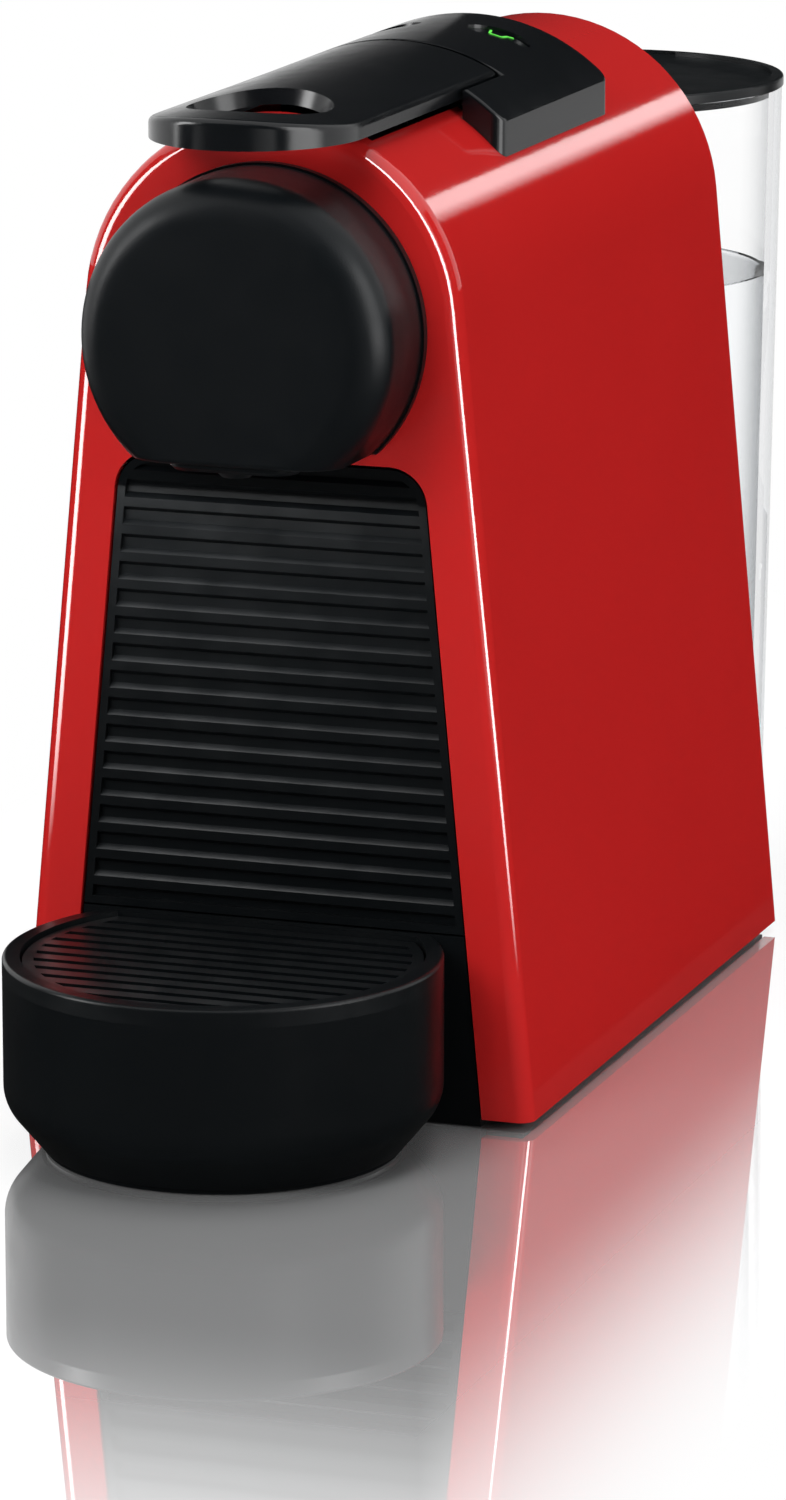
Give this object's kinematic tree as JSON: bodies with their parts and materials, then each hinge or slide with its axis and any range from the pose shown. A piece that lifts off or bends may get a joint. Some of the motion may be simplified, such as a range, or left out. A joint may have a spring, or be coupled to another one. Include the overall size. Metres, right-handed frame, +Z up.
{
  "type": "capsule espresso machine",
  "caption": "Compact capsule espresso machine with an arched shell, round brewing head, lifting lever, press buttons, pull-out drip tray and capsule drawer, and a lift-off water tank.",
  "frame": {"origin": "on the worktop, under the middle of the machine's overall box", "axes": "+X to the right seen from the front, -Y towards the user, +Z up"},
  "size_m": [0.11, 0.325, 0.2073],
  "materials": {
    "shell_red": "high-gloss red moulded plastic",
    "satin_black": "satin black moulded plastic",
    "gloss_black": "polished black moulded plastic",
    "moulded_black": "fine-grained black moulded plastic",
    "inner_black": "plain dark moulded plastic",
    "clear_plastic": "clear moulded plastic",
    "valve_grey": "grey moulded plastic",
    "soft_rubber": "soft black rubber",
    "hose_silicone": "milky silicone",
    "polished_steel": "bright stainless steel",
    "coil_steel": "dark laminated steel and winding",
    "cast_aluminium": "die-cast aluminium",
    "thermostat_can": "pressed steel can",
    "circuit_board": "green laminate",
    "component_black": "black moulded components"
  },
  "bodies": {
    "housing": {"outer_shell": "shell_red", "rear_panel": "inner_black", "base_plate": "inner_black", "rubber_feet": "soft_rubber", "head_collar": "satin_black", "head_cap": "satin_black", "coffee_spout": "moulded_black", "top_panel": "gloss_black", "button_board": "circuit_board", "button_switches": "component_black", "lever_pin": "polished_steel", "brew_frame": "inner_black", "extraction_holder": "inner_black", "extraction_plate": "polished_steel", "heater_block": "cast_aluminium", "thermostat": "thermostat_can", "pump_body": "valve_grey", "pump_coil": "coil_steel", "pump_mounts": "soft_rubber", "flow_meter": "valve_grey", "inlet_hose": "hose_silicone", "suction_hose": "hose_silicone", "pressure_hose": "hose_silicone", "control_board": "circuit_board", "board_components": "component_black", "tank_socket": "inner_black", "dock_seal": "soft_rubber", "cable_gland": "soft_rubber", "case_screws": "polished_steel"},
    "lever_arm": {"lever": "gloss_black", "lever_cam": "inner_black"},
    "brew_carriage": {"capsule_cage": "inner_black", "cage_seal": "soft_rubber", "piercing_needles": "polished_steel", "follower_pin": "polished_steel"},
    "espresso_key": {"espresso_button": "gloss_black"},
    "lungo_key": {"lungo_button": "gloss_black"},
    "drawer": {"container_front": "moulded_black", "lower_front": "moulded_black", "capsule_container": "inner_black", "drip_tray": "moulded_black", "tray_rim": "moulded_black"},
    "grid": {"drip_grid": "moulded_black"},
    "tank": {"water_tank": "clear_plastic", "tank_valve": "valve_grey", "tank_strainer": "valve_grey"},
    "plunger": {"valve_plunger": "valve_grey"},
    "lid": {"tank_lid": "moulded_black"}
  },
  "joints": [
    {"name": "lever_hinge", "type": "hinge", "parent": "housing", "child": "lever_arm", "pos_m": [0, -0.027, 0.1971], "axis": [-1, 0, 0], "range_deg": [0, 85]},
    {"name": "cage_slide", "type": "slide", "parent": "housing", "child": "brew_carriage", "axis": [0, 1, 0], "range_m": [0, 0.03]},
    {"name": "espresso_press", "type": "slide", "parent": "housing", "child": "espresso_key", "axis": [0, 0, -1], "range_m": [0, 0.0012], "stiffness_N_per_m": 400},
    {"name": "lungo_press", "type": "slide", "parent": "housing", "child": "lungo_key", "axis": [0, 0, -1], "range_m": [0, 0.0012], "stiffness_N_per_m": 400},
    {"name": "drawer_slide", "type": "slide", "parent": "housing", "child": "drawer", "axis": [0, -1, 0], "range_m": [0, 0.09]},
    {"name": "grid_lift", "type": "slide", "parent": "drawer", "child": "grid", "axis": [0, 0, 1], "range_m": [0, 0.04]},
    {"name": "tank_lift", "type": "slide", "parent": "housing", "child": "tank", "axis": [0, 0, 1], "range_m": [0, 0.07]},
    {"name": "valve_drop", "type": "slide", "parent": "tank", "child": "plunger", "axis": [0, 0, -1], "range_m": [0, 0.002], "stiffness_N_per_m": 150},
    {"name": "lid_lift", "type": "slide", "parent": "tank", "child": "lid", "axis": [0, 0, 1], "range_m": [0, 0.04]}
  ],
  "couplings": [
    {"joint": "cage_slide", "follows": "lever_hinge", "m_per_rad": 0.020222}
  ]
}
